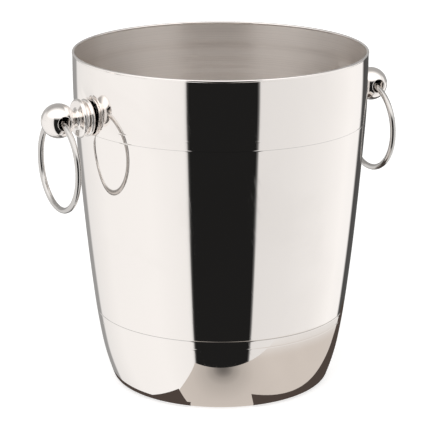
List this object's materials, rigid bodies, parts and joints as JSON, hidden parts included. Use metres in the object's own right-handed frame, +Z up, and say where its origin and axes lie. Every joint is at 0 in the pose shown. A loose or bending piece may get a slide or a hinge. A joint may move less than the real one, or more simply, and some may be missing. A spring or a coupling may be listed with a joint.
{
  "type": "champagne bucket",
  "caption": "Tapered polished metal champagne bucket with a rounded foot, fine turned lines and a loose ring handle on a ball knob at each side.",
  "frame": {"origin": "middle of the base, on the surface that the bucket stands on", "axes": "+Z up along the bucket's axis, +X through the middle of the right knob, -X through the left knob"},
  "size_m": [0.2634, 0.2, 0.2305],
  "materials": {
    "polished_shell": "spun sheet, mirror polish outside, fine satin inside",
    "polished_fittings": "turned and mirror polished",
    "ring_wire": "drawn wire, polished, lightly worn",
    "seal_rubber": "plain moulded rubber",
    "fixing_steel": "plain machined steel"
  },
  "bodies": {
    "bucket": {"body": "polished_shell", "left_outer_seal": "seal_rubber", "left_rosette": "polished_fittings", "left_collar": "polished_fittings", "left_knob": "polished_fittings", "left_inner_seal": "seal_rubber", "left_washer": "fixing_steel", "left_lock_washer": "fixing_steel", "left_screw": "fixing_steel", "right_outer_seal": "seal_rubber", "right_rosette": "polished_fittings", "right_collar": "polished_fittings", "right_knob": "polished_fittings", "right_inner_seal": "seal_rubber", "right_washer": "fixing_steel", "right_lock_washer": "fixing_steel", "right_screw": "fixing_steel"},
    "left_ring_handle": {"left_ring": "ring_wire"},
    "right_ring_handle": {"right_ring": "ring_wire"}
  },
  "joints": [
    {"name": "left_ring_swing", "type": "hinge", "parent": "bucket", "child": "left_ring_handle", "pos_m": [-0.1202, 0, 0.1943], "axis": [0, 1, 0], "range_deg": [-19, 205]},
    {"name": "right_ring_swing", "type": "hinge", "parent": "bucket", "child": "right_ring_handle", "pos_m": [0.1202, 0, 0.1943], "axis": [0, -1, 0], "range_deg": [-19, 205]}
  ]
}
